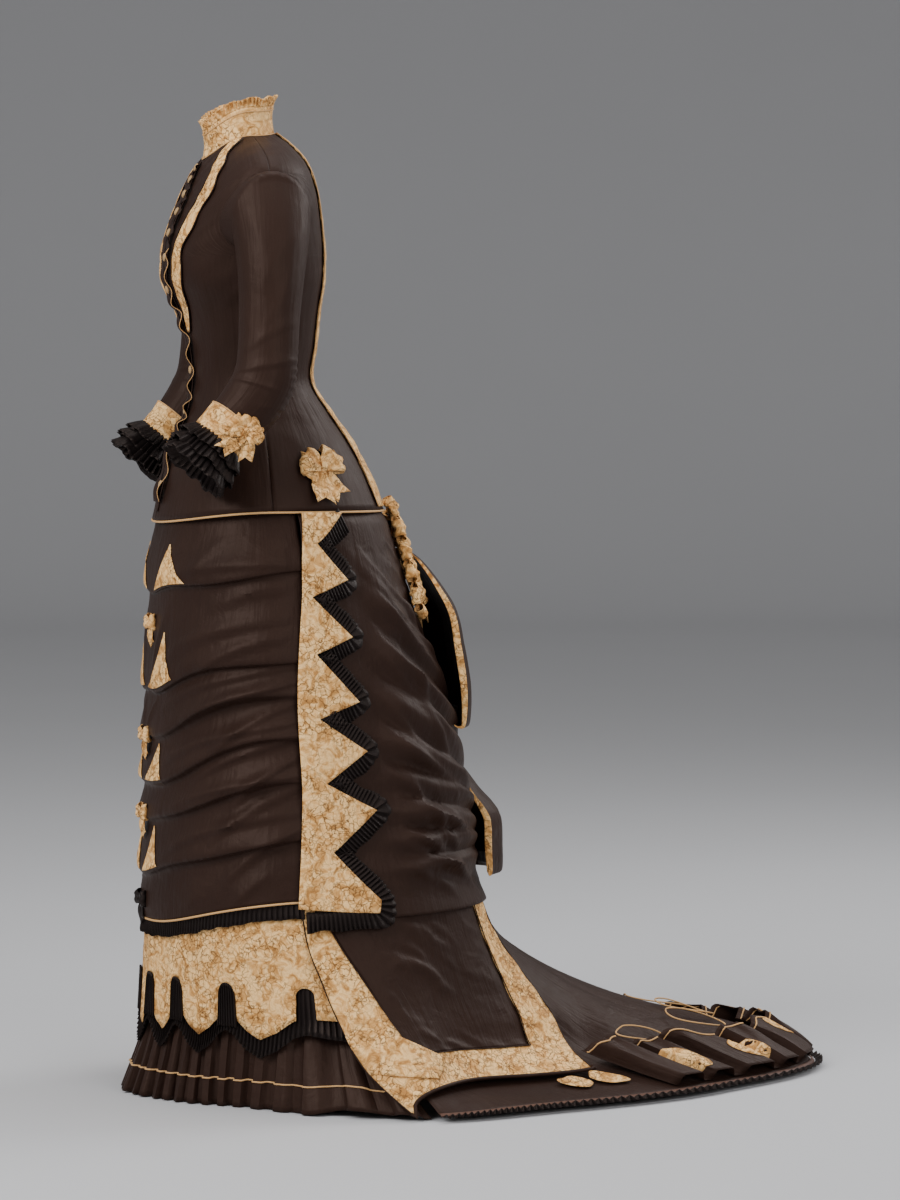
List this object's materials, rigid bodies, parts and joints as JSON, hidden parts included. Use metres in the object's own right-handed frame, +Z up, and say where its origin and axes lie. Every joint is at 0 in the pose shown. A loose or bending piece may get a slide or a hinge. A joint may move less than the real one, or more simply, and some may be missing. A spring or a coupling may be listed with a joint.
{
  "type": "wedding dress",
  "caption": "Silk gown of about 1880 in its worn, hollow form: fitted long-sleeved bodice, draped apron skirt with tan trims and black frills, and a long train.",
  "frame": {"origin": "middle of the shoulder line, inside the neck, 1.340 m above the hem plane, where the wearer's shoulders hold the dress up", "axes": "+Z up; -Y the way the wearer faces, so +Y towards the train; +X the wearer's left"},
  "size_m": [0.7578, 1.0465, 1.4271],
  "materials": {
    "brown_silk": "dark brown silk taffeta with a soft sheen",
    "tan_brocade": "tan and gold mottled silk brocade",
    "black_silk": "black knife-pleated silk",
    "rust_binding": "rust-brown silk binding"
  },
  "bodies": {
    "root": {"apron": "brown_silk", "apron_frill": "black_silk", "apron_piping": "tan_brocade", "back_ornament": "tan_brocade", "bodice_back_band": "tan_brocade", "bodice_back_left": "brown_silk", "bodice_back_right": "brown_silk", "bodice_front_left": "brown_silk", "bodice_front_right": "brown_silk", "bodice_hem_piping": "tan_brocade", "button_stand": "tan_brocade", "collar_band": "tan_brocade", "collar_frill": "tan_brocade", "cuff_bow_left": "tan_brocade", "cuff_bow_right": "tan_brocade", "cuff_left": "tan_brocade", "cuff_right": "tan_brocade", "drapery_left": "brown_silk", "drapery_right": "brown_silk", "flounce_front": "brown_silk", "front_bow_1": "tan_brocade", "front_bow_2": "tan_brocade", "front_bow_3": "tan_brocade", "front_bow_4": "black_silk", "front_edge_frill": "brown_silk", "hem_ruffle": "black_silk", "hip_bow_left": "tan_brocade", "hip_bow_right": "tan_brocade", "hip_frill_left": "black_silk", "hip_frill_right": "black_silk", "hip_panel_left": "tan_brocade", "hip_panel_right": "tan_brocade", "inset_left_1": "tan_brocade", "inset_left_2": "tan_brocade", "inset_left_3": "tan_brocade", "inset_left_4": "tan_brocade", "inset_right_1": "tan_brocade", "inset_right_2": "tan_brocade", "inset_right_3": "tan_brocade", "inset_right_4": "tan_brocade", "revers_left": "tan_brocade", "revers_right": "tan_brocade", "sash_loop_lower": "brown_silk", "sash_loop_upper": "brown_silk", "side_border_left": "tan_brocade", "side_border_right": "tan_brocade", "side_panel_left": "brown_silk", "side_panel_right": "brown_silk", "sleeve_left": "brown_silk", "sleeve_right": "brown_silk", "tab_trim": "black_silk", "tabbed_band": "tan_brocade", "train": "brown_silk", "train_binding": "rust_binding", "train_flounce": "brown_silk", "wrist_frill_left": "black_silk", "wrist_frill_right": "black_silk"}
  },
  "joints": []
}
